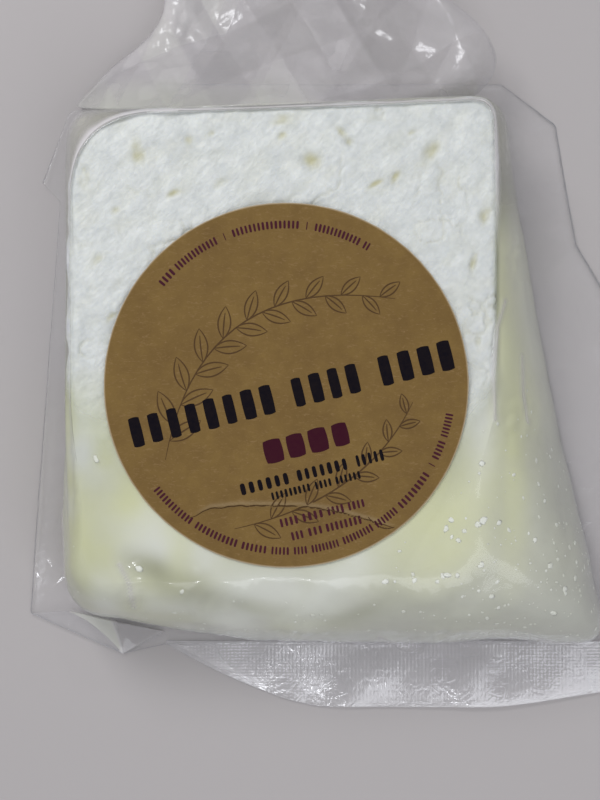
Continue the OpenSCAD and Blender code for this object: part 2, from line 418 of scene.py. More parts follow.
mottle, crinkle = makeMottleGroup(), makeCrinkleGroup()


def useGroup(tree, group, **inputs):
    node = addNode(tree, "ShaderNodeGroup", node_tree=group)
    for label, value in inputs.items():
        node.inputs[{"size": "Size mm"}.get(label, label.capitalize())].default_value = value
    return node.outputs[0]


def newMaterial(name):
    material = bpy.data.materials.new(name)
    material.use_nodes = True
    material.node_tree.nodes.clear()
    return material, material.node_tree


def principled(tree, base, roughness, specular=0.5, more=None):
    inputs = {"Base Color": base, "Roughness": roughness, "Specular IOR Level": specular}
    return addNode(tree, "ShaderNodeBsdfPrincipled", {**inputs, **(more or {})})


def blendShaders(tree, amount, a, b):
    return addNode(tree, "ShaderNodeMixShader", {0: amount, 1: a.outputs[0], 2: b.outputs[0]})


def showShader(tree, shader):
    # the shader goes to the material's surface
    output = tree.nodes.new("ShaderNodeOutputMaterial")
    tree.links.new(shader.outputs[0], output.inputs[0])


def bumpFrom(tree, height, distance, strength=1.0):
    # a normal from a height mask, with the bump's full height in millimetres
    inputs = {"Height": height, "Distance": distance / metre, "Strength": strength}
    return addNode(tree, "ShaderNodeBump", inputs).outputs["Normal"]


cheeseLook = {
    "curd": colour(0.80, 0.82, 0.85),
    "shade": colour(0.655, 0.68, 0.715),
    "straw": colour(0.54, 0.52, 0.345),
    "grainSize": 1.3,
    "grainHeight": 0.38,
}


def makeCheeseMaterial():
    # white curd in soft blotches of painted shade, straw-coloured where its attribute says, under a fine
    # streaky grain
    material, tree = newMaterial("feta_curd")
    blotch = useGroup(tree, mottle, size=3.2, contrast=0.9)
    # the blotches mix in a painted shaded copy of the curd
    base = mixColour(tree, blotch, cheeseLook["shade"], cheeseLook["curd"])
    base = mixColour(tree, attribute(tree, "straw"), base, cheeseLook["straw"])
    turn = addNode(tree, "ShaderNodeMapping", {
        "Vector": objectPlace(tree), "Rotation": (0, 0, math.radians(45)), "Scale": (1.8, 1, 1)},
        vector_type="TEXTURE")
    grain = addNode(tree, "ShaderNodeTexNoise", {
        "Vector": turn.outputs[0], "Scale": metre / cheeseLook["grainSize"], "Detail": 3.0})
    showShader(tree, principled(tree, base, 0.42, 0.45, {
        "Subsurface Weight": 0.15, "Subsurface Scale": 0.0006, "Subsurface Radius": (1.0, 0.9, 0.7),
        "Normal": bumpFrom(tree, grain.outputs[0], cheeseLook["grainHeight"])}))
    return material


filmLook = {
    "clear": colour(0.998, 0.998, 0.998),
    "dim": colour(0.42, 0.40, 0.40),
    "veil": colour(0.80, 0.775, 0.80),
    "pale": colour(0.84, 0.86, 0.76),
    "gleam": colour(0.93, 0.95, 1.0),
    "faceOn": 0.045,                  # share of gleam where the film faces the eye
}
filmFinish = {
    # each film's roughness, height and size of its small creases, and strength of its gleam
    "clear_film": (0.10, 0.05, 4.0, 0.65),
    "pressed_film": (0.13, 0.02, 2.0, 2.0),
    "folded_film": (0.10, 0.03, 3.0, 1.0),
    "loose_film": (0.13, 0.02, 3.2, 0.6),
    "pressed_end": (0.13, 0.02, 2.0, 2.0),
}


def makeFilmMaterial(name):
    # clear film: see-through, with a veil where the attribute haze says, dim, grey or pale as the
    # attribute tone goes from 0 to 1, and over both the gleam that grows as facing^5
    roughness, crease, creaseSize, gleam = filmFinish[name]
    material, tree = newMaterial(name)
    ridge = useGroup(tree, crinkle, size=creaseSize, sharpness=6.0)
    normal = bumpFrom(tree, maths(tree, "MULTIPLY", ridge, attribute(tree, "slack")), crease)
    clear = addNode(tree, "ShaderNodeBsdfTransparent", {"Color": filmLook["clear"]})
    tone = attribute(tree, "tone")
    lower = maths(tree, "MULTIPLY", tone, 2.0, clamp=True)
    higher = maths(tree, "SUBTRACT", maths(tree, "MULTIPLY", tone, 2.0), 1.0, clamp=True)
    # besides the film's own tint, tone paints shade towards dim and light towards pale on fold facets and
    # in the pouch's back-left corner
    tint = mixColour(tree, lower, filmLook["dim"], filmLook["veil"])
    tint = mixColour(tree, higher, tint, filmLook["pale"])
    veil = principled(tree, tint, 0.5, 0.3, {"Normal": normal})
    gloss = principled(tree, filmLook["gleam"], roughness, 0.5, {"Metallic": 1.0, "Normal": normal})
    facing = addNode(tree, "ShaderNodeLayerWeight", {"Blend": 0.5, "Normal": normal}).outputs["Facing"]
    edge = maths(tree, "ADD", maths(tree, "POWER", facing, 5.0), filmLook["faceOn"], clamp=True)
    shine = maths(tree, "MULTIPLY", edge, gleam, clamp=True)
    body = blendShaders(tree, attribute(tree, "haze"), clear, veil)
    showShader(tree, blendShaders(tree, shine, body, gloss))
    return material


def filmValues(haze, tone, slack=1.0):
    # the three attributes that film reads at each point: its veil, its tone and how much it is creased
    plain = np.zeros(haze.shape)
    return {"haze": np.clip(haze, 0, 1), "slack": slack + plain, "tone": np.clip(tone + plain, 0, 1)}


brineLook = {
    "milkAndLight": colour(0.78, 0.80, 0.725),
    "straw": colour(0.70, 0.72, 0.44),
    "pool": colour(0.545, 0.555, 0.50),
    "oliveShade": colour(0.33, 0.335, 0.215),
    "clear": colour(0.985, 0.99, 0.965),
    "clouds": 0.12,
}


def makeBrineMaterial():
    # cloudy brine: how much it covers, how yellow and how milky it is (the milk partly painted light), and
    # its painted olive shade, come from its attributes
    material, tree = newMaterial("cloudy_brine")
    cloud = maths(tree, "MULTIPLY", useGroup(tree, mottle, size=7.0, contrast=0.8), brineLook["clouds"])
    milkyAndLit = maths(tree, "ADD", attribute(tree, "milkAndLight"), cloud, clamp=True)
    body = mixColour(tree, attribute(tree, "yellow"), brineLook["pool"], brineLook["straw"])
    body = mixColour(tree, milkyAndLit, body, brineLook["milkAndLight"])
    # painted shade: the olive bands darken the body
    body = mixColour(tree, attribute(tree, "oliveShade"), body, brineLook["oliveShade"])
    liquid = principled(tree, body, 0.25, 0.3)
    clear = addNode(tree, "ShaderNodeBsdfTransparent", {"Color": brineLook["clear"]})
    showShader(tree, blendShaders(tree, attribute(tree, "cover"), clear, liquid))
    return material


labelLook = {
    "kraft": colour(0.222, 0.139, 0.042),
    "dark": colour(0.165, 0.098, 0.031),
    "fibre": colour(0.29, 0.185, 0.085),
    "cutAndHighlight": colour(0.46, 0.37, 0.25),
}
inks = {
    "headline_ink": colour(0.005, 0.004, 0.008),
    "dark_line_ink": colour(0.005, 0.004, 0.008),
    "plum_ink": colour(0.042, 0.006, 0.016),
    "maroon_ink": colour(0.062, 0.014, 0.026),
    "sprig_ink": colour(0.085, 0.048, 0.022),
    "crease_shade": colour(0.085, 0.048, 0.022),
}


def makeLabelMaterial():
    # kraft paper: two browns in blotches, pale fibres, a fine grain, and the lighter core where it is cut,
    # which also paints a highlight along the fold
    material, tree = newMaterial("kraft_paper")
    blotch = useGroup(tree, mottle, size=9.0, contrast=0.8)
    grain = useGroup(tree, mottle, size=0.55, contrast=1.3)
    turn = addNode(tree, "ShaderNodeMapping", {
        "Vector": objectPlace(tree), "Rotation": (0, 0, 0.4), "Scale": (0.35, 1, 1)})
    hair = addNode(tree, "ShaderNodeTexNoise", {
        "Vector": turn.outputs[0], "Scale": metre / 0.35, "Detail": 3.0, "Distortion": 1.2})
    light = maths(tree, "SUBTRACT", hair.outputs[0], 0.56, clamp=True)
    light = maths(tree, "MULTIPLY", light, 3.5, clamp=True)
    base = mixColour(tree, blotch, labelLook["dark"], labelLook["kraft"])
    base = mixColour(tree, light, base, labelLook["fibre"])
    base = mixColour(tree, maths(tree, "MULTIPLY", grain, 0.3), base, labelLook["dark"])
    base = mixColour(tree, attribute(tree, "cutAndHighlight"), base, labelLook["cutAndHighlight"])
    showShader(tree, principled(tree, base, 0.65, 0.15, {"Normal": bumpFrom(tree, grain, 0.03, 0.6)}))
    return material


def makeInkMaterial(name):
    # printed ink, a little worn so that the paper shows through in specks
    material, tree = newMaterial(name)
    wearAndHighlight = maths(tree, "MULTIPLY", useGroup(tree, mottle, size=0.8, contrast=1.0), 0.03)
    showShader(tree, principled(tree, mixColour(tree, wearAndHighlight, inks[name], labelLook["dark"]), 0.7, 0.05))
    return material


pits = np.array([
    # across, up from the label's centre, length, width, turn in degrees, depth
    (-0.8, 46.6, 1.7, 0.9, 10, 0.35), (-25.9, 40.6, 1.0, 2.2, 5, 0.25), (10.0, 44.0, 1.5, 0.5, -50, 0.5),
    (11.0, 42.6, 0.6, 0.7, 0, 0.7), (25.2, 40.6, 2.1, 1.0, 58, 0.8), (4.4, 39.2, 1.6, 1.3, -20, 0.5),
    (-35.4, 36.4, 0.9, 2.0, 5, 0.3), (34.6, 29.6, 1.3, 0.9, 70, 0.6), (-11.5, 35.4, 1.2, 0.6, 30, 0.35),
    (-19.6, 33.6, 1.3, 0.5, 20, 0.3), (19.0, 36.4, 1.1, 0.5, 60, 0.5), (15.5, 35.2, 1.4, 0.4, 30, 0.3),
    (32.6, 21.4, 1.8, 0.6, 75, 0.6), (-33.0, 22.0, 1.3, 0.6, 50, 0.3), (-30.5, 12.0, 1.1, 0.5, 40, 0.25),
    (-17.0, 43.0, 0.9, 0.7, 60, 0.3), (-0.8, 43.6, 0.8, 0.6, 30, 0.3), (33.5, 8.0, 1.4, 0.5, 80, 0.3),
    (-13.0, 44.0, 0.5, 0.4, 10, 0.4), (22.0, 44.2, 0.7, 0.4, 30, 0.3), (-30.0, 30.5, 0.8, 0.5, 35, 0.3),
])


def pitMask(points):
    # the sum of long soft bells, one turned along each pit, and the same times each pit's depth
    x, y = fromLabel(points)
    mask, depth = np.zeros(x.shape), np.zeros(x.shape)
    for across, up, length, width, degrees, deep in pits:
        u, v = turned(x - across, y - up, degrees)
        dent = np.exp(-((u / length) ** 2 + ((v + 0.12 * u * u / length) / width) ** 2) ** 1.3)
        mask += dent
        depth += dent * deep
    return np.clip(mask, 0, 1), depth


def softLumps(points):
    # the slow unevenness that the cheese, the film and the label share
    return noise(points, 7.0, 11) * 0.6 + noise(points, 15.0, 12) * 0.4


cheeseShape = {
    "lumps": 0.20,                    # heights of the surface's unevenness, from slow to fine
    "curds": 0.34,
    "streaks": 0.11,
    "sides": 0.25,                    # more of it on the cut sides
    "cracks": 0.35,                   # their depth
    "proud": 0.1,                     # what stands higher is pressed down by the film
}


def makeCheese():
    # A level is the slab's outline drawn in by d at height z. The edges are quarter rounds: drawn in by
    # e (1 - cos a) at height e (1 - sin a) from the face. Lumps, streaks and pits push it along its normal.
    e = edgeRound
    a = np.radians(np.linspace(0, 90, 11))
    upTheSide = np.linspace(0, 1, 22)[1:-1]
    drawn = [e * (1 - math.sin(k)) for k in a] + [0 * e for t in upTheSide]
    drawn += [e * (1 - math.cos(k)) for k in a[1:]]
    height = [slabBottom + e * (1 - math.cos(k)) for k in a]
    height += [mix(slabBottom + e, slabTop - e, t) for t in upTheSide]
    height += [slabTop - e * (1 - math.sin(k)) for k in a[1:]]
    rows = [ring(slabRadius * share, slabBottom) for share in (0.2, 0.6, 0.85)]
    rows += [ring(slabRadius - d, z) for d, z in zip(drawn, height)]
    rows += [ring(mix(slabRadius - e, 28.0, t), slabTop) for t in np.linspace(0, 1, 68)[1:]]
    points = np.stack(rows)
    normals = gridNormals(points, True)
    level = np.clip(normals[..., 2], 0, 1)
    streak = fractal(streaked(points, 45, 2.2), 1.8, 21, 2)
    curds = fractal(points, 4.2, 31, 4)
    rough = 0.3 + 0.7 * ramp(noise(points, 10.0, 38), -0.4, 0.5)
    cracks = bell(noise(points, 4.2, 35) + 0.25 * noise(points, 1.3, 36), 0.06)
    cracks = cracks * ramp(noise(points, 9.0, 37), 0.0, 0.4)
    mask, depth = pitMask(points)
    relief = cheeseShape["lumps"] * softLumps(points) - cheeseShape["cracks"] * cracks - 0.1
    relief = relief + rough * (cheeseShape["streaks"] * streak + cheeseShape["curds"] * curds)
    relief = relief + (1 - level) * cheeseShape["sides"] * fractal(points, 5.0, 41, 2)
    above = np.maximum(relief - cheeseShape["proud"], 0)
    relief = relief - above + 0.2 * np.tanh(2 * above) - depth * level
    relief[normals[..., 2] < -0.5] = 0
    points = points + normals * relief[..., None]
    smudge = np.clip(0.65 + 0.5 * fractal(points, 1.4, 43, 2), 0, 1)
    tint = np.clip(mask * smudge * level + 0.12 * ramp(streak, 0.3, -0.9) + 0.25 * cracks, 0, 1)
    tint += 0.22 * ramp(-fromLabel(points)[1], 5, 25) * level
    return closedLoft("fetaBlock", points, makeCheeseMaterial(), ["feta_block"],
                      {"straw": np.clip(tint, 0, 1)})


puckers = [
    # where the film is puckered: across and up from the label's centre, reach, strength
    (-35, -12, 6, 0.8), (-35, -19, 4, 0.8), (-27, -32, 4, 1.0), (-27, -38, 3, 1.0), (41, -6, 5, 1.0),
    (30, -44, 6, 1.0), (41, 24, 4, 0.8), (-36, 47, 4, 1.0), (33, 47, 4, 1.0), (17, 47, 5, 0.7),
    (-37, 22, 5, 0.6), (48, -28, 6, 1.0), (2, -45, 5, 0.9), (-14, -42, 5, 0.8),
    (-22, 66, 6, 1.0), (-22, 57, 4, 0.8), (9.8, 57.5, 3.5, 1.0), (33, 57, 4, 0.6),
]


def puckerMask(points):
    # the largest of a few round soft bells
    x, y = fromLabel(points)
    bells = [strength * bell(np.hypot(x - across, y - up), reach)
             for across, up, reach, strength in puckers]
    return np.maximum.reduce(bells)


creasePaths = [
    # long creases in the film, each as points across and up from the label's centre
    [(38.4, 14.8), (36.8, 10.1), (36.0, 2.1), (36.4, -6)], [(41.8, 5.3), (42.0, -0.8), (43.0, -6.5)],
    [(16.9, -46.0), (20.5, -48.0), (30.0, -48.0), (34.8, -47.0), (40.5, -46.6)],
    [(46.2, -46.7), (50.4, -47.7), (57.0, -48.0)], [(-40.6, -22.8), (-40.1, -29.2), (-39.3, -35.6)],
    [(-29.0, -31.2), (-27.3, -34.7), (-26.9, -39.2)],
]


def creaseMask(points):
    # the largest of a narrow soft bell round each straight piece of the creases
    place = points[..., :2] - labelAt
    nearest = np.full(points.shape[:-1], 50.0)
    for path in creasePaths:
        for a, b in zip(np.array(path)[:-1], np.array(path)[1:]):
            t = np.clip(((place - a) @ (b - a)) / ((b - a) @ (b - a)), 0, 1)
            nearest = np.minimum(nearest, np.linalg.norm(place - a - t[..., None] * (b - a), axis=-1))
    return bell(nearest, 0.45)


def pouchSkin(sunk):
    # The pouch's outside from its foot to the label: wall levels at angle a from 0 to 90 degrees, in from
    # the foot by 1 - cos(a)^p and up by sin(a)^p, then level. Noise and folds push it along its normal,
    # more where it is slack, but never into the cheese. Sunk is how far inside the film it lies.
    a = np.radians(np.linspace(0, 90, wallRows))
    inward, up = 1 - np.cos(a)[:, None] ** wallPower, np.sin(a)[:, None] ** wallPower
    rows = [ring(mix(footRadius, rimRadius, i), mix(slabBottom, filmTop, u)) for i, u in zip(inward, up)]
    rows += [ring(mix(rimRadius, 27.0, t), filmTop) for t in np.linspace(0, 1, topRows - hubRows + 1)[1:]]
    rows += [ring(3.0 * k, filmTop) for k in range(hubRows, 0, -1)]
    points = np.stack(rows)
    normals = gridNormals(points, True)
    window = np.concatenate([np.sin(2 * a) ** 0.7, np.zeros(topRows)])[:, None]
    level = np.concatenate([a / a[-1], np.ones(topRows)])[:, None] ** 3
    slack = np.clip((footRadius - rimRadius - 3) / 18, 0, 1)
    waves = pouchShape["waves"] * noise(points, 13.0, 61)
    folds = pouchShape["folds"] * crumple(points, 15.0, 71)[0]
    wet = 0.22 * noise(points, 6.0, 51) + 0.45 * crumple(points, 11.0, 55)[0]
    puckered = pouchShape["puckers"] * puckerMask(points) * crumple(points, 3.2, 73)[0]
    brow = 0.20 * noise(points, 5.0, 57) + 0.25 * crumple(points, 8.0, 58)[0]
    push = window * (underBrine * wet + slack * (waves + folds)) + puckered * (0.35 + 0.65 * window)
    push = push + level * (0.20 * softLumps(points) - 0.16) + pouchShape["creases"] * creaseMask(points)
    push = push + underBrine * ramp(reachOf(points), 33, 36) * ramp(points[..., 2], 18, 24) * brow
    points = points + normals * (push - sunk)[..., None]
    over = np.clip((points[..., 2] - (slabTop - edgeRound)) / edgeRound, 0, 1)
    solid = slabRadius - edgeRound * (1 - np.sqrt(1 - over ** 2)) + 0.3 * (1 - over)
    short = np.maximum(solid + 0.12 - sunk - reachOf(points), 0)
    return points + outward * np.where(points[..., 2] < slabTop, short, 0)[..., None]


brineSpots = {
    # across, up from the label's centre, reach across, reach up, turn in degrees, strength
    "straw": [(-31.5, -20.0, 3.5, 12, 0, 0.8), (-15.0, -34.5, 11, 3.5, -20, 0.75),
              (39.5, -12.0, 4, 20, 0, 1.0), (29.0, -27.0, 13, 7, 40, 0.75), (2.0, -43.0, 14, 3, 0, 0.35)],
    # milky brine, partly painted light: the white patches on the front and right walls lighten where the
    # lamps leave them in shade
    "milkAndLight": [(-22.5, -27.0, 9, 5, -30, 0.6), (-4.0, -36.0, 12, 3.5, 0, 0.6), (34.0, -6.0, 3.0, 10, 0, 0.8),
             (8.0, -35.0, 9, 4, 30, 0.55), (-30.0, -38.5, 8, 3.0, 0, 0.35), (-35.0, -12.0, 3, 5, 0, 0.6),
             (46.0, 10.0, 5, 20, 10, 0.6), (42.0, 28.0, 3, 8, 0, 0.5), (-9.0, -42.5, 5, 3, 0, 0.9),
             (-33.0, -43.0, 4, 3, 0, 0.4)],
    # painted shade: dark olive bands low at the front and on the left
    "oliveShade": [(-19.5, -34.0, 9, 2.8, -25, 1.0), (-32, -25, 5, 13, 0, 0.15),
              (-7.0, -38.5, 7, 1.6, -12, 0.4), (12.0, -40.5, 7, 1.8, 25, 0.35)],
}


def spotMask(points, kind):
    # the largest of a few soft oval bells
    x, y = fromLabel(points)
    bells = []
    for across, up, wide, tall, degrees, strength in brineSpots[kind]:
        u, v = turned(x - across, y - up, degrees)
        bells.append(strength * np.exp(-(u / wide) ** 2 - (v / tall) ** 2))
    return np.maximum.reduce(bells)


def makeBrine():
    # The brine fills the skin a little inside the film. Its cover over the table grows with its depth as
    # 1 - exp(-depth / 5 mm); over the cheese it is a thin veil that thickens towards the front. The shore
    # is a slanted line right of the label: in front of it the veil is thickest.
    skin = pouchSkin(0.09)[:-hubRows]
    inner = (footRadius * 0.2, footRadius * 0.7, footRadius * 0.93, footRadius - 0.3)
    points = np.concatenate([np.stack([ring(radius, slabBottom + 0.06) for radius in inner]), skin])
    x, y = fromLabel(points)
    r, slab = reachOf(points), outlineAt(points, slabRadius)
    wobble, patch = noise(points, 12.0, 81), noise(points, 4.5, 82)
    rightFill = ramp(-y + 3 * wobble, -42, -24)
    leftFill = ramp(-y + 4 * wobble, -6, 10)
    behind = 0.28 * ramp(y, 40, 48) * ramp(wobble, -0.3, 0.5)
    filled = np.maximum(mix(leftFill, rightFill, ramp(x, -12, 12)), behind)
    depth = np.clip(points[..., 2] - slabBottom, 0, 30)
    outside = filled * (0.70 + 0.26 * (1 - np.exp(-depth / 5)))
    veil = ramp(-y + 3 * wobble + 0.2 * np.abs(x), 1, 30) * (0.86 + 0.08 * wobble)
    shore = ((x - 24.5) * 39.2 - (y + 18.7) * 23.3) / 45.6 + 2.5 * wobble
    veil = np.maximum(veil, 0.95 * ramp(shore, -4, 6) * ramp(-y, -8, 4))
    over = ramp(r, slab + mix(0.2, 4, veil), slab - mix(1.5, 6, veil))
    cover = mix(outside, veil, over)
    cover[:len(inner)] = 0.12
    # yellower near the shore: partly the straw of the brine, partly painted light thrown back from the
    # cheese
    near = bell(np.clip(shore - 6, 0, 60), 9.0)
    warm = 0.12 + 0.75 * near * ramp(y, -42, -22) + 0.35 * ramp(-x, 8, 24) * ramp(-y, -6, 6)
    yellow = np.maximum(spotMask(points, "straw"), warm) + 0.12 * wobble
    # milky brine in front of the shore, partly painted light that lightens the front wall against its shade
    inland = ramp(shore, 4, -6) * ramp(-y, -4, 12)
    milkAndLight = spotMask(points, "milkAndLight") + inland * (0.30 + 0.42 * patch - 0.15 * ramp(-x, 10, 26))
    # painted shade: the dark olive bands, a little uneven
    oliveShade = spotMask(points, "oliveShade") * (0.8 + 0.4 * patch)
    values = {"cover": np.minimum(cover, 0.95), "yellow": yellow, "milkAndLight": milkAndLight, "oliveShade": oliveShade}
    return closedLoft("brineFill", points, makeBrineMaterial(), ["brine_pouch"],
                      {key: np.clip(value, 0, 1) for key, value in values.items()})


bagZones = [
    # rings of the film from the middle of the underside to the label: how many there are, and their veil,
    # slackness and climb up the wall, each at the first of them and at the last
    (4, (0, 0), (0.7, 0.7), (0, 0)),                           # under the pouch
    (4, (0.02, 0.02), (0.7, 0.7), (0, 0)),                     # the flat margin's underside
    (14, (0.13, 0.13), (0.7, 0.7), (0, 0)),                    # its upper side
    (wallRows - 1, (0.12, 0.03), (0.9, 0.35), (0, 1)),         # the wall
    (topRows, (0.008, 0.008), (0.08, 0.08), (1.2, 1.2)),       # the top
]


def zoneValues(column):
    # one value for each ring, straight from its zone's first to its last
    values = [np.linspace(*zone[column], zone[0]) for zone in bagZones]
    return np.concatenate(values)[:, None] * np.ones(columns)


def makeBag():
    # The two webs as one closed skin: the underside out to the outline, the flat margin back in to the
    # pouch's foot, and then the pouch's own skin. Slow waves lift the margin, most at its rim.
    share = np.linspace(0, 1, bagZones[2][0])
    rows = [ring(footRadius * t, 0) for t in (0.15, 0.55, 0.85, 1.0)]
    rows += [ring(mix(footRadius, bagRadius, t), 0) for t in share[2::3]]
    rows += [ring(mix(bagRadius, footRadius, t), 0.35) for t in share]
    points = np.stack(rows)
    lift = np.concatenate([np.zeros(bagZones[0][0]), share[2::3], 1 - share])[:, None]
    lift = lift * np.clip((bagRadius - footRadius) / 8, 0, 1)
    waves = 0.5 + 1.1 * noise(points, 17.0, 91) + 0.5 * noise(points, 7.0, 92)
    points[..., 2] += lift * np.clip(waves, 0, 2)
    points = np.concatenate([points, pouchSkin(0.0)[1:]])
    veil, slack, climb = zoneValues(1), zoneValues(2), zoneValues(3)
    x, y = points[..., 0], points[..., 1]
    # painted highlight: a band of bright haze along the back rim
    rim = bell(climb - 0.93, 0.10) * ramp(fromLabel(points)[1], 20, 46)
    cloudy = np.clip(noise(points, 4.0, 95) - 0.2, 0, 1) * ramp(climb, 1.1, 0.9)
    # painted shade: dim haze in the back-left corner of the wall
    corner = bell(np.hypot(x + 38, y - 43), 7) * ramp(climb, 0.0, 0.2) * ramp(climb, 1.0, 0.9)
    # painted highlights along the creases, over their real ridges
    creased = creaseMask(points) * ramp(climb, 0, 0.05)
    haze = veil + 0.8 * rim + 0.10 * cloudy + 0.35 * corner + 0.4 * creased
    tone = 0.5 + 0.08 * noise(points, 8.0, 96) - 0.12 * corner
    replaced = ["brine_pouch", "lower_web", "left_seam", "right_seam"]
    return closedLoft("pouchFilm", points, makeFilmMaterial("clear_film"), replaced,
                      filmValues(haze, tone, slack))


sealShape = {
    "pitch": 0.70,                    # spacing of the pressed pattern
    "press": 0.075,                   # its height
    "wave": 0.5,                      # how far the front band ripples off the table
    "endPress": 0.07,
    "endWave": 0.6,
    "endDepth": 9.0,                  # of the loose end's seal, from front to back
    "haze": 0.22,
    "endHaze": 0.20,
    "tone": 0.52,
}


def pressedPattern(points):
    # two crossed rows of ridges, |sin k x| |sin 1.2 k y|, from 0 to 1
    k = math.pi / sealShape["pitch"]
    return np.abs(np.sin(k * points[..., 0])) * np.abs(np.sin(1.2 * k * points[..., 1]))


def makeFrontSeal():
    # Columns run from the slanted left end to the right end, rows from the outer edge to the seal's inner
    # line. The outer edge is a quadratic curve at the left and then straight, rising a little at the right.
    # On it lies the pressed pattern, over a slow wave.
    x = mix(slantStart[0], farRight, np.linspace(0, 1, 440))
    pull = (mix(slantStart[0], slantEnd[0], 0.7), sealFront)
    curve = bend(slantStart, pull, slantEnd, np.linspace(0, 1, 60))
    outer = np.interp(x, curve[:, 0], curve[:, 1])
    outer = np.where(x > right, mix(sealFront, sealFront + 3.2, ramp(x, right, farRight)), outer)
    outer = np.minimum(outer, sealLine - 0.05)
    s = np.linspace(0, 1, 52)[:, None]
    y = mix(outer, sealLine + 0.6, s)
    grid = np.stack([np.broadcast_to(x, y.shape), y, np.zeros(y.shape)], axis=-1)
    pressed = ramp(s * (sealLine - outer), 0.2, 1.0) * ramp(sealLine - y, -0.5, 0.2)
    wave = sealShape["wave"] * np.clip(0.4 + noise(grid, 16.0, 101) + 0.4 * noise(grid, 6.0, 102), 0, 2)
    base = wave * ramp(np.abs(x - slantStart[0]), 0, 6)
    ridges = sealShape["press"] * (pressedPattern(grid) - 0.4) + wave - base
    upper, lower = grid.copy(), grid
    upper[..., 2] = 0.36 + base + pressed * (0.5 + 0.9 * ramp(s, 0.15, 0.7)) * ridges
    haze = sealShape["haze"] + 0.10 * pressed + 0.08 * noise(grid, 5.0, 103)
    lower[..., 2] = base
    return closedSheet("frontSealBand", upper, lower, makeFilmMaterial("pressed_film"),
                       ["front_seal", "lower_web"], filmValues(haze, sealShape["tone"]))


def makeDogEar():
    # The folded corner between four corners: straight across both ways, with two folds that run
    # from its inner edge to its tip, at u = 1 - v and u = 1 - 0.55 v
    t = np.linspace(0, 1, 90)
    u, v = t[None, :], t[:, None]
    outerEnd, tip = np.array([farLeft, -48.95, 0.8]), np.array([foldTip[0], foldTip[1], 0.8])
    inner, nook = np.array([-22.8, footFront + 0.7, 1.4]), np.array([footLeft + 0.4, footFront + 4.6, 2.4])
    across = u[..., None]
    grid = mix(mix(outerEnd, tip, across), mix(nook, inner, across), v[..., None])
    bulge = 4 * u * (1 - u) * v * 0.8
    folds = 0.7 * (zigzag(1.6 * u + 0.4 * v + 0.2) - 0.5)
    grid[..., 2] += bulge + folds * v + 0.25 * noise(grid, 4.0, 111)
    upper, lower = grid.copy(), grid
    upper[..., 2] = np.maximum(upper[..., 2], 0.75)
    lower[..., 2] = 0.55
    firstFold, lastFold = 1 - v, 1 - 0.55 * v
    middleFacet = ramp(u - firstFold, -0.02, 0.02) * ramp(lastFold - u, -0.02, 0.02)
    lastFacet = ramp(u - lastFold, -0.02, 0.02)
    # painted light and shade on the fold's facets: the middle one hazier and paler, the last hazier and
    # dimmer
    haze = 0.10 + 0.28 * middleFacet + 0.28 * lastFacet
    tone = 0.5 + 0.35 * middleFacet - 0.30 * lastFacet
    return closedSheet("cornerDogEar", upper, lower, makeFilmMaterial("folded_film"),
                       ["corner_fold"], filmValues(haze, tone))


tailShape = {
    "length": 36.0,
    "halfWidth": 25.0,                # of its far end and the seal there
    "rootHeight": 25.2,               # where the loose end leaves the pouch, over its middle
    "pleat": 1.6,
    "bigFolds": 5.5,
    "smallFolds": 1.1,
    "curl": 12.0,                     # height of the rolled right side
    # shares of the length from the pouch, and where the left and right sides are there
    "leftSide": ([0, 0.2, 0.3, 0.41, 0.5, 0.75, 1], [-39.5, -32.5, -27.2, -23.4, -22.2, -23.8, -25]),
    "rightSide": ([0, 0.08, 0.2, 0.34, 0.45, 0.6, 1], [34, 38.2, 39.2, 36.4, 29.5, 26, 25]),
}


def softPath(at, places, values):
    # straight steps between given values, rounded by averaging over a tenth of the way
    near = [np.interp(at + shift, places, values) for shift in np.linspace(-0.05, 0.05, 9)]
    return np.mean(near, axis=0)


def tailPoints(columnsAcross, rowsAlong):
    # u runs from the left side to the right and v from the pouch to the end seal. Sides follow given
    # paths. Height falls from the pouch's wall as (1 - v)^2, with pleats along v, sharp folds and a curl.
    # Also gives which side of its big folds each place lies on.
    u, v = np.meshgrid(np.linspace(0, 1, columnsAcross), np.linspace(0, 1, rowsAlong))
    middleShare = np.sin(math.pi * u) ** 0.35
    root = mix(footBack + 0.2, mix(41.4, 44.4, u), middleShare)
    x = mix(softPath(v, *tailShape["leftSide"]), softPath(v, *tailShape["rightSide"]), u)
    y = mix(root, footBack + tailShape["length"], v)
    flat = np.stack([x, y, np.zeros(x.shape)], axis=-1)
    fall = (1 - v) ** 2.0 * middleShare
    loose = np.sin(math.pi * v) ** 0.8
    pleat = tailShape["pleat"] * zigzag(2.6 * u + 0.5 * v + 0.1 * noise(flat, 18.0, 121)) * loose
    folds, sides = crumple(flat, 19.0, 131, 0.12)
    folds = tailShape["bigFolds"] * folds * (0.35 + loose)
    folds = folds + tailShape["smallFolds"] * crumple(flat, 6.0, 141, 0.25)[0] * (0.3 + loose)
    folds = folds + (0.175 + 0.8 * puckerMask(flat)) * crumple(flat, 2.6, 145)[0]
    curl = tailShape["curl"] * ramp(u, 0.68, 1.0) ** 1.3 * loose ** 0.7
    height = mix(0.6, tailShape["rootHeight"], fall) + pleat + folds * ramp(v, -0.02, 0.12) + curl
    z = np.clip(height, 0.5, 25.6) * ramp(v, 1.0, 0.82)
    return np.stack([x, y, z], axis=-1), u, v, sides


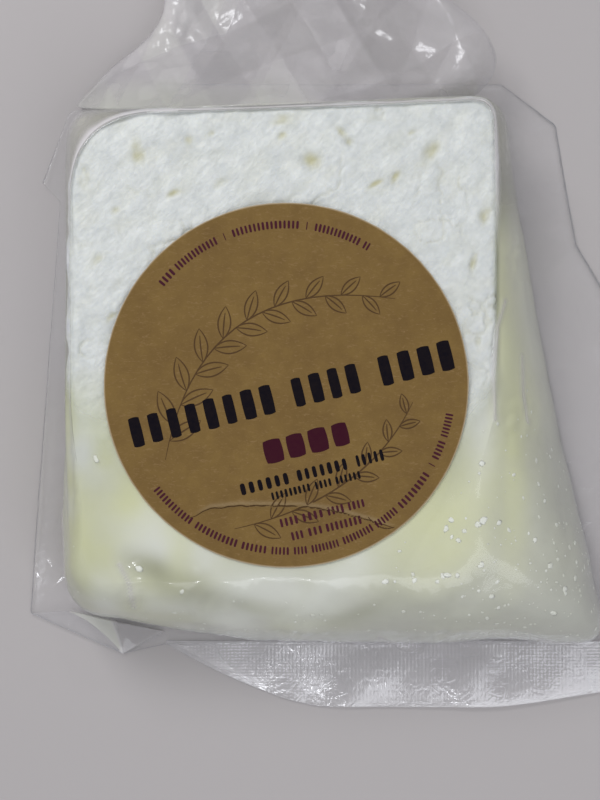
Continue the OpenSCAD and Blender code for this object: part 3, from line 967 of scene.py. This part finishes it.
def makeTail():
    # the loose end of film: its surface moved a little along its normals to each side, and stitched
    grid, u, v, sides = tailPoints(260, 150)
    normals = gridNormals(grid, False)
    upper, lower = grid + normals * 0.25, grid - normals * 0.02
    upper[..., 2] = np.maximum(upper[..., 2], 0.35)
    lower[..., 2] = np.maximum(lower[..., 2], 0.02)
    pinch = 0.06 * ramp(noise(grid, 3.5, 151), 0.1, 0.5)
    # painted light and shade: one side of each big fold hazier and paler, the other clearer and dimmer
    haze = mix(0.32, 0.20, ramp(u, 0.1, 0.5)) + pinch + 0.05 * ramp(u, 0.75, 0.95) + 0.07 * sides
    wet = ramp(v, 0.22, 0.02) * ramp(noise(grid, 11.0, 152), -0.35, 0.25)
    tone = mix(0.50, 0.32, ramp(u, 0.2, 0.7)) + 0.14 * sides + 0.35 * wet
    return closedSheet("crumpledTail", upper, lower, makeFilmMaterial("loose_film"),
                       ["loose_end"], filmValues(haze, tone))


def makeTailSeal():
    # a straight band with the pressed pattern over a slow wave, from the loose end's edge backwards
    wide, start = tailShape["halfWidth"], footBack + tailShape["length"]
    x, y = np.meshgrid(np.linspace(-wide, wide, 230),
                       np.linspace(start - 0.4, start + sealShape["endDepth"], 40))
    grid = np.stack([x, y, np.zeros(x.shape)], axis=-1)
    edge = ramp(x, -wide, 1 - wide) * ramp(x, wide, wide - 1)
    inner = ramp(np.linspace(0, 1, 40)[:, None], 0, 0.12)
    lift = sealShape["endWave"] * np.clip(0.3 + noise(grid, 14.0, 161), 0, 2) * inner
    haze = sealShape["endHaze"] + 0.06 * noise(grid, 4.0, 162)
    upper, lower = grid.copy(), grid
    upper[..., 2] = 0.42 + lift + sealShape["endPress"] * pressedPattern(grid) * edge * inner
    lower[..., 2] = 0.02 + lift
    return closedSheet("tailSealBand", upper, lower, makeFilmMaterial("pressed_end"),
                       ["end_seal"], filmValues(haze, sealShape["tone"]))


labelShape = {
    "thickness": 0.19,
    "fold": 0.34,                     # height of the fold in the paper
    "ownLumps": 0.06,
    "ragged": 0.05,                   # unevenness of the cut edge
    "underRows": 12,
    "edgeRows": 3,
    "faceRows": 78,
}
# the paper's fold, along the lower part of the label: points across and up from its centre
wrinklePath = np.array([(-17.5, -23.2), (-13.3, -21.2), (-8.1, -20.7), (2.2, -20.8), (6.5, -21.3),
                        (10.8, -22.2), (18.9, -24.6)])


def wrinkleAt(x):
    # how far up the fold lies at a place across the label
    return np.interp(x, wrinklePath[:, 0], wrinklePath[:, 1])


def labelBase(points):
    # the same slow lumps as the film has at that place, and a few of the paper's own
    flat = points.copy()
    flat[..., 2] = filmTop
    return labelHigh[2] + 0.20 * softLumps(flat) + labelShape["ownLumps"] * noise(flat, 9.0, 171) - 0.04


def labelTop(points):
    # the paper's face with its fold: a steep lip in front of a soft back, along the wrinkle's path
    x, y = fromLabel(points)
    off = y - wrinkleAt(x) - 0.15 * noise(points, 2.5, 172)
    lip = bell(off, np.where(off > 0, 1.0, 0.35)) * ramp(x, -18.5, -12) * ramp(x, 20.5, 16)
    return labelBase(points) + labelShape["fold"] * lip


def makeLabel():
    # A disc of paper as rings: out under it, round its ragged cut edge, and in over its printed face,
    # which lies at labelTop of each place.
    under, edge, face = labelShape["underRows"], labelShape["edgeRows"], labelShape["faceRows"]
    thickness = labelShape["thickness"]
    radii = [labelRadius * t for t in np.linspace(0.08, 0.99, under)] + [labelRadius] * edge
    radii += [labelRadius - 0.05, labelRadius - 0.22]
    radii += [mix(labelRadius - 0.3, 0.8, t) for t in np.linspace(0, 1, face)]
    below = [thickness] * (under + 1) + [0.12, 0.05] + [0.0] * (face + 2)
    points = np.stack([ring(radius, 0) for radius in radii])
    points[..., 2] = labelTop(points) - np.array(below)[:, None]
    points[:under, :, 2] = labelBase(points[:under]) - thickness - 0.01
    cutRows = slice(under, under + edge + 1)
    ragged = labelShape["ragged"] * noise(points, 1.2, 181)
    points[cutRows] += outward * ragged[cutRows, :, None]
    x, y = fromLabel(points)
    # painted highlight: a light band in the cut colour along the fold's lip
    wearAndHighlight = 0.25 * bell(y - wrinkleAt(x) - 0.15, 0.35) * ramp(x, -17, -12) * ramp(x, 20, 16)
    core = np.array([1.0] * (under + edge + 1) + [0.25] + [0.0] * face)[:, None]
    return closedLoft("kraftLabel", points, makeLabelMaterial(), ["label"],
                      {"cutAndHighlight": np.clip(wearAndHighlight + core, 0, 1)})


printShape = {
    "degrees": 13.9,                  # the print runs up to the right on the label
    "lift": 0.035,                    # of the blocks' faces over the paper
    "lineLift": 0.018,
    "sunk": 0.03,                     # of their undersides below it
    "sprigLine": 0.13,                # half widths
    "creaseShadowLine": 0.14,
}
# rows of marks: how far up the print, how tall, and words; a word is its start, its end and its marks
headlineRows = [(-1.7, 5.4, [(-28.9, -2.2, 8), (0.1, 13.1, 4), (15.6, 29.9, 4)])]
plumRows = [(-10.6, 4.3, [(-6.9, 9.1, 4)])]
darkRows = [(-15.8, 2.1, [(-12.4, -3.2, 6), (-2.2, 7.2, 7), (8.4, 13.7, 5)]),
            (-18.2, 1.45, [(-7.3, -0.1, 9), (0.5, 3.7, 4), (4.2, 8.9, 6)])]
maroonRows = [(-23.1, 1.5, [(-7.0, -3.5, 4), (-3.0, 1.0, 4), (1.5, 4.7, 4), (5.2, 8.4, 4)]),
              (-25.8, 1.5, [(-5.6, -3.2, 3), (-2.6, 0.2, 3), (0.6, 7.2, 8)])]
# rows round the rim: radius, how tall, words in degrees anticlockwise from the right, and which way is up
rimRows = [
    (27.95, 1.45, [(141.5, 134.4, 4), (133.4, 115.5, 12), (112.9, 112.3, 1), (109.9, 85.2, 16),
                   (82.9, 82.3, 1), (80.0, 62.6, 12), (61.4, 58.7, 2)], "outwards"),
    (28.85, 1.4, [(218.2, 235.5, 12), (236.8, 253.0, 11), (254.2, 263.4, 6), (264.6, 271.2, 5),
                  (272.4, 277.4, 4), (278.6, 288.6, 8), (289.8, 301.4, 9), (302.4, 311.6, 7),
                  (312.8, 328.2, 9), (331.0, 331.6, 1), (333.4, 340.4, 5), (341.6, 350.3, 7)], "inwards"),
]


def eachMark(words):
    # the middle and the pitch of every mark of a row
    for start, end, count in words:
        pitch = (end - start) / count
        for k in range(count):
            yield start + (k + 0.5) * pitch, pitch


def straightMarks(rows):
    # each mark as across and up from the label's centre, width, height and turn
    turn = printShape["degrees"]
    return [(*turned(place, up, -turn), pitch, height, math.radians(turn))
            for up, height, words in rows for place, pitch in eachMark(words)]


def roundMarks(rows):
    marks = []
    for radius, height, words, upwards in rows:
        side = math.pi / 2 if upwards == "inwards" else -math.pi / 2
        for place, pitch in eachMark(words):
            a = math.radians(place)
            width = abs(math.radians(pitch)) * radius
            marks.append((radius * math.cos(a), radius * math.sin(a), width, height, a + side))
    return marks


def markSheet(name, marks, fill, across, up, squareness, ink):
    # Many small rounded blocks at once. Each is a square grid (u, v) from -1 to 1, rounded by
    # x = u sqrt(1 - k v^2), y = v sqrt(1 - k u^2), scaled, turned and laid on the paper.
    marks = np.array(marks)
    rng = np.random.default_rng(len(marks))
    count = len(marks)
    u, v = np.meshgrid(np.linspace(-1, 1, across), np.linspace(-1, 1, up))
    k = 1 - squareness
    placeX, placeY, width, height, turn = marks.T[:, :, None, None]
    width = width / 2 * fill * rng.uniform(0.82, 1.0, count)[:, None, None]
    height = height / 2 * rng.uniform(0.93, 1.0, count)[:, None, None]
    x, y = u * np.sqrt(1 - k * v * v) * width, v * np.sqrt(1 - k * u * u) * height
    c, s = np.cos(turn), np.sin(turn)
    px, py = labelAt[0] + placeX + x * c - y * s, labelAt[1] + placeY + x * s + y * c
    upper = np.stack([px, py, np.zeros(px.shape)], axis=-1)
    lower = upper.copy()
    paper = labelTop(upper)
    upper[..., 2] = paper + printShape["lift"]
    lower[..., 2] = paper - printShape["sunk"]
    flat = np.stack([upper.reshape(count, -1, 3), lower.reshape(count, -1, 3)], axis=1).reshape(-1, 3)
    faces = repeatFaces(sheetFaces(up, across), count, 2 * across * up)
    return buildPiece(name, flat, [faces], makeInkMaterial(ink), rounded=False)


def strokeSheet(name, paths, halfWidth, ink):
    # Thin drawn lines: each path is carried by a flat bar whose half width is full in its middle
    # and a third of that at its ends, laid on the paper.
    paths = np.array(paths)
    count, steps = paths.shape[:2]
    ahead = np.gradient(paths, axis=1)
    ahead /= np.maximum(np.linalg.norm(ahead, axis=-1, keepdims=True), 1e-9)
    side = np.stack([-ahead[..., 1], ahead[..., 0]], axis=-1)
    width = halfWidth * (0.33 + 0.67 * np.sin(math.pi * np.linspace(0, 1, steps)) ** 0.6)[None, :, None]
    low, high = paths - side * width, paths + side * width
    bar = np.stack([low, high, high, low], axis=2)
    points = np.concatenate([bar + labelAt, np.zeros(bar.shape[:-1] + (1,))], axis=-1)
    lift, sunk = printShape["lineLift"], printShape["sunk"]
    points[..., 2] = labelTop(points) + np.array([lift, lift, -sunk, -sunk])
    ends = np.array([[0, 1, 2, 3], [4 * steps - 1, 4 * steps - 2, 4 * steps - 3, 4 * steps - 4]])
    one = np.concatenate([gridFaces(steps, 4, True)[:, [0, 3, 2, 1]], ends])
    faces = repeatFaces(one, count, 4 * steps)
    return buildPiece(name, points.reshape(-1, 3), [faces], makeInkMaterial(ink),
                      rounded=False)


sprigShape = {
    # each stem's start, the point that pulls it, its end, its pairs of leaves and their length
    "stems": [((-21, -13), (-15, 20), (19, 15), 9, 6.6), ((-9, -25), (14, -20), (22, -3), 6, 5.4)],
    "spread": 0.75,                   # turn of a leaf from its stem, in radians
    "belly": 1.3,                     # how much its sides bulge
}


def sprigPaths():
    # two bending stems with pairs of pointed leaves, each leaf two bulged sides and a midrib
    t = np.linspace(0, 1, 22)
    paths = []
    for start, pull, end, pairs, leaf in sprigShape["stems"]:
        paths.append(bend(start, pull, end, t))
        for k in range(pairs):
            for hand in (-1, 1):
                at = (k + 0.7 + 0.22 * hand) / (pairs + 0.3)
                here = bend(start, pull, end, at)
                ahead = bend(start, pull, end, at + 0.02) - here
                turn = math.atan2(ahead[1], ahead[0]) + hand * sprigShape["spread"]
                size = leaf * (1 - 0.35 * at)
                tip = here + size * np.array([math.cos(turn), math.sin(turn)])
                off = size * 0.3 * np.array([-math.sin(turn), math.cos(turn)])
                belly = here + (tip - here) * 0.45
                paths.append(bend(here, belly + off * sprigShape["belly"], tip, t))
                paths.append(bend(here, belly - off * sprigShape["belly"], tip, t))
                paths.append(bend(here, belly + off * 0.1, here + (tip - here) * 0.8, t))
    return paths


def creaseShadowPaths():
    # the painted shadow line in front of the paper's fold, and the short tear where it reaches the rim,
    # drawn in the same dark shade
    x = np.linspace(-17.3, 18.7, 90)
    y = wrinkleAt(x) - 0.28 + 0.12 * np.sin(2.1 * x) * np.sin(0.7 * x)
    tear = bend((14.2, -22.9), (16.4, -25.6), (18.8, -24.7), np.linspace(0, 1, 90))
    return [np.stack([x, y], axis=-1), tear]


def makePrint():
    # Plain rounded blocks stand where a pack has its words, and a plain sprig where it has its picture
    small = straightMarks(maroonRows) + roundMarks(rimRows)
    markSheet("headlineBlocks", straightMarks(headlineRows), 0.66, 9, 15, 0.86, "headline_ink")
    markSheet("plumBlocks", straightMarks(plumRows), 0.84, 9, 11, 0.8, "plum_ink")
    markSheet("darkLines", straightMarks(darkRows), 0.62, 4, 5, 0.7, "dark_line_ink")
    markSheet("smallMarks", small, 0.6, 4, 4, 0.75, "maroon_ink")
    strokeSheet("sprigLines", sprigPaths(), printShape["sprigLine"], "sprig_ink")
    # painted shadow of the paper's fold
    strokeSheet("paperCreaseShadow", creaseShadowPaths(), printShape["creaseShadowLine"], "crease_shade")


speckShape = {
    "count": 260,
    "smallest": 0.12,                 # half widths
    "largest": 0.55,
    "flat": 0.06,                     # half height
    "dull": colour(0.70, 0.72, 0.62),
    "white": colour(0.84, 0.86, 0.80),
}
largeCrumbs = np.array([
    # across and up from the label's centre
    (45.0, -13.5), (49.5, -18.0), (30.0, -27.0), (34.3, -31.5), (34.8, -23.8), (33.7, -24.2),
    (31.5, -25.5), (39.0, -25.2), (22.4, -33.8), (27.8, -33.0), (29.9, -33.0), (-25.6, -32.0),
    (-18.0, -36.0), (-33.0, -13.0), (52.0, -34.5), (47.5, -40.0),
])


def makeSpeckMaterial():
    material, tree = newMaterial("curd_specks")
    cloud = useGroup(tree, mottle, size=1.5, contrast=1.0)
    base = mixColour(tree, cloud, speckShape["dull"], speckShape["white"])
    showShader(tree, principled(tree, base, 0.5))
    return material


def unitBall(sides, levels):
    # points (cos b cos a, cos b sin a, sin b) between two poles, with its four-sided and its pole faces
    b = np.radians(np.linspace(-90, 90, levels + 2))[1:-1, None]
    a = np.arange(sides) * 2 * math.pi / sides
    shell = np.stack([np.cos(b) * np.cos(a), np.cos(b) * np.sin(a), np.sin(b) + 0 * a], axis=-1)
    j = np.arange(sides)
    after = (j + 1) % sides
    south = np.full(sides, sides * levels)
    top = sides * (levels - 1)
    caps = [np.stack([south, after, j], -1), np.stack([south + 1, top + j, top + after], -1)]
    points = np.concatenate([shell.reshape(-1, 3), [[0, 0, -1], [0, 0, 1]]])
    return points, gridFaces(levels, sides, True), np.concatenate(caps)


def crumbPlaces(rng, skin):
    # picks places on the skin, most of them where the pouch is full of brine, and a half width for each
    flat = skin.reshape(-1, 3)
    x, y = fromLabel(flat)
    r, slab, foot = reachOf(flat), outlineAt(flat, slabRadius), outlineAt(flat, footRadius)
    spacing = np.abs(np.gradient(np.hypot(skin[..., 0], skin[..., 1]), axis=0)).ravel()
    wanted = ramp(-y, 0, 40) * (0.12 + 0.88 * ramp(x, 8, 40))
    wanted = wanted + 0.5 * ramp(r, slab - 1, slab + 3) * ramp(-y, -5, 15)
    wanted = wanted * r * spacing * (r > labelRadius + 2) * (r < foot - 0.6)
    picked = rng.choice(len(flat), speckShape["count"], replace=False, p=wanted / wanted.sum())
    smallest, largest = speckShape["smallest"], speckShape["largest"]
    size = smallest * (largest / smallest) ** (rng.uniform(0, 1, len(picked)) ** 2.0)
    off = np.hypot(x[:, None] - largeCrumbs[:, 0], y[:, None] - largeCrumbs[:, 1])
    picked = np.concatenate([picked, np.argmin(off, axis=0)])
    return picked, np.concatenate([size, rng.uniform(0.35, 0.7, len(largeCrumbs))])


def makeSpecks():
    # crumbs of curd in the brine: low balls with uneven radii, turned and laid just under the film
    rng = np.random.default_rng(7)
    skin = pouchSkin(0.075)
    picked, size = crumbPlaces(rng, skin)
    chosen, up = skin.reshape(-1, 3)[picked], gridNormals(skin, True).reshape(-1, 3)[picked]
    ball, body, caps = unitBall(8, 4)
    count = len(chosen)
    lump = 1 + rng.uniform(-0.28, 0.28, (count, len(ball), 1))
    stretch = np.stack([rng.uniform(0.8, 1.5, count) * size, rng.uniform(0.7, 1.1, count) * size,
                        np.full(count, speckShape["flat"])], axis=-1)
    local = ball[None] * lump * stretch[:, None]
    turn = rng.uniform(0, math.pi, count)
    across = np.stack([np.cos(turn), np.sin(turn), 0 * turn], -1)
    across -= up * np.sum(across * up, -1, keepdims=True)
    across /= np.linalg.norm(across, axis=-1, keepdims=True)
    axes = np.stack([across, np.cross(up, across), up], axis=1)
    placed = chosen[:, None] + local @ axes
    faces = [repeatFaces(kind, count, len(ball)) for kind in (body, caps)]
    return buildPiece("curdSpecks", placed.reshape(-1, 3), faces, makeSpeckMaterial())


makeCheese()
makeBrine()
makeBag()
makeFrontSeal()
makeDogEar()
makeTail()
makeTailSeal()
makeLabel()
makePrint()
makeSpecks()

stageLook = {
    "floor": colour(0.485, 0.462, 0.470),
    "floorHalf": 3.0,                 # half its width, in metres
    "room": colour(0.97, 0.98, 1.0),
    "roomStrength": 0.42,
}
lamps = {
    # place, target and size in millimetres, watts, tint
    "windowLight": ((-190, 250, 400), (-10, 10, 10), 190, 0.98, (1.0, 0.99, 0.98)),
    "ceilingLight": ((150, -270, 420), (0, -10, 10), 320, 0.60, (0.98, 0.985, 1.0)),
    "smallLampLeft": ((-200, 40, 420), (-20, 0, 10), 10, 0.035, (1.0, 1.0, 1.0)),
    "smallLampBack": ((40, 260, 400), (0, 0, 10), 10, 0.035, (1.0, 1.0, 1.0)),
    "smallLampFront": ((-40, -200, 450), (0, -40, 10), 10, 0.035, (1.0, 1.0, 1.0)),
}


def makeStage():
    # a plain pale floor a hair below the pack, and a soft room round it
    half, low = stageLook["floorHalf"], -2e-5
    mesh = bpy.data.meshes.new("paleFloor")
    corners = [(-half, -half, low), (half, -half, low), (half, half, low), (-half, half, low)]
    mesh.from_pydata(corners, [], [(0, 1, 2, 3)])
    floor = bpy.data.objects.new("paleFloor", mesh)
    bpy.context.scene.collection.objects.link(floor)
    material, tree = newMaterial("pale_floor")
    showShader(tree, principled(tree, stageLook["floor"], 0.75, 0.2))
    mesh.materials.append(material)
    world = bpy.data.worlds.new("softRoom")
    world.use_nodes = True
    background = world.node_tree.nodes["Background"]
    background.inputs["Color"].default_value = stageLook["room"]
    background.inputs["Strength"].default_value = stageLook["roomStrength"]
    bpy.context.scene.world = world


def addLight(name, place, target, size, watts, tint):
    # a soft square lamp, turned towards its target
    data = bpy.data.lights.new(name, "AREA")
    data.shape, data.size, data.energy, data.color = "SQUARE", size / metre, watts, tint
    lamp = bpy.data.objects.new(name, data)
    bpy.context.scene.collection.objects.link(lamp)
    place, target = np.array(place) / metre, np.array(target) / metre
    lamp.location = place
    lamp.rotation_euler = Vector(target - place).to_track_quat("-Z", "Y").to_euler()


cameraView = {
    "elevation": 89.6,                # degrees above the floor, seen from the front
    "distance": 272.0,
    "lens": 70.4,
    "aim": (2.4, -2.6),               # from the label's centre to the middle of the view
}


def placeCamera():
    data = bpy.data.cameras.new("viewCamera")
    data.lens, data.sensor_fit, data.sensor_height = cameraView["lens"], "VERTICAL", 36
    data.clip_start, data.clip_end = 0.01, 20
    camera = bpy.data.objects.new("viewCamera", data)
    bpy.context.scene.collection.objects.link(camera)
    a = math.radians(cameraView["elevation"])
    aim = np.array([middle[0] + labelAt[0] + cameraView["aim"][0],
                    middle[1] + labelAt[1] + cameraView["aim"][1], labelHigh[2]])
    camera.location = (aim + cameraView["distance"] * np.array([0, -math.cos(a), math.sin(a)])) / metre
    camera.rotation_euler = (math.radians(90) - a, 0, 0)
    bpy.context.scene.camera = camera


makeStage()
for name, settings in lamps.items():
    addLight(name, *settings)
placeCamera()
scene = bpy.context.scene
scene.view_settings.view_transform = "Standard"
scene.cycles.transparent_max_bounces = 24
print("stage, lights and camera placed")
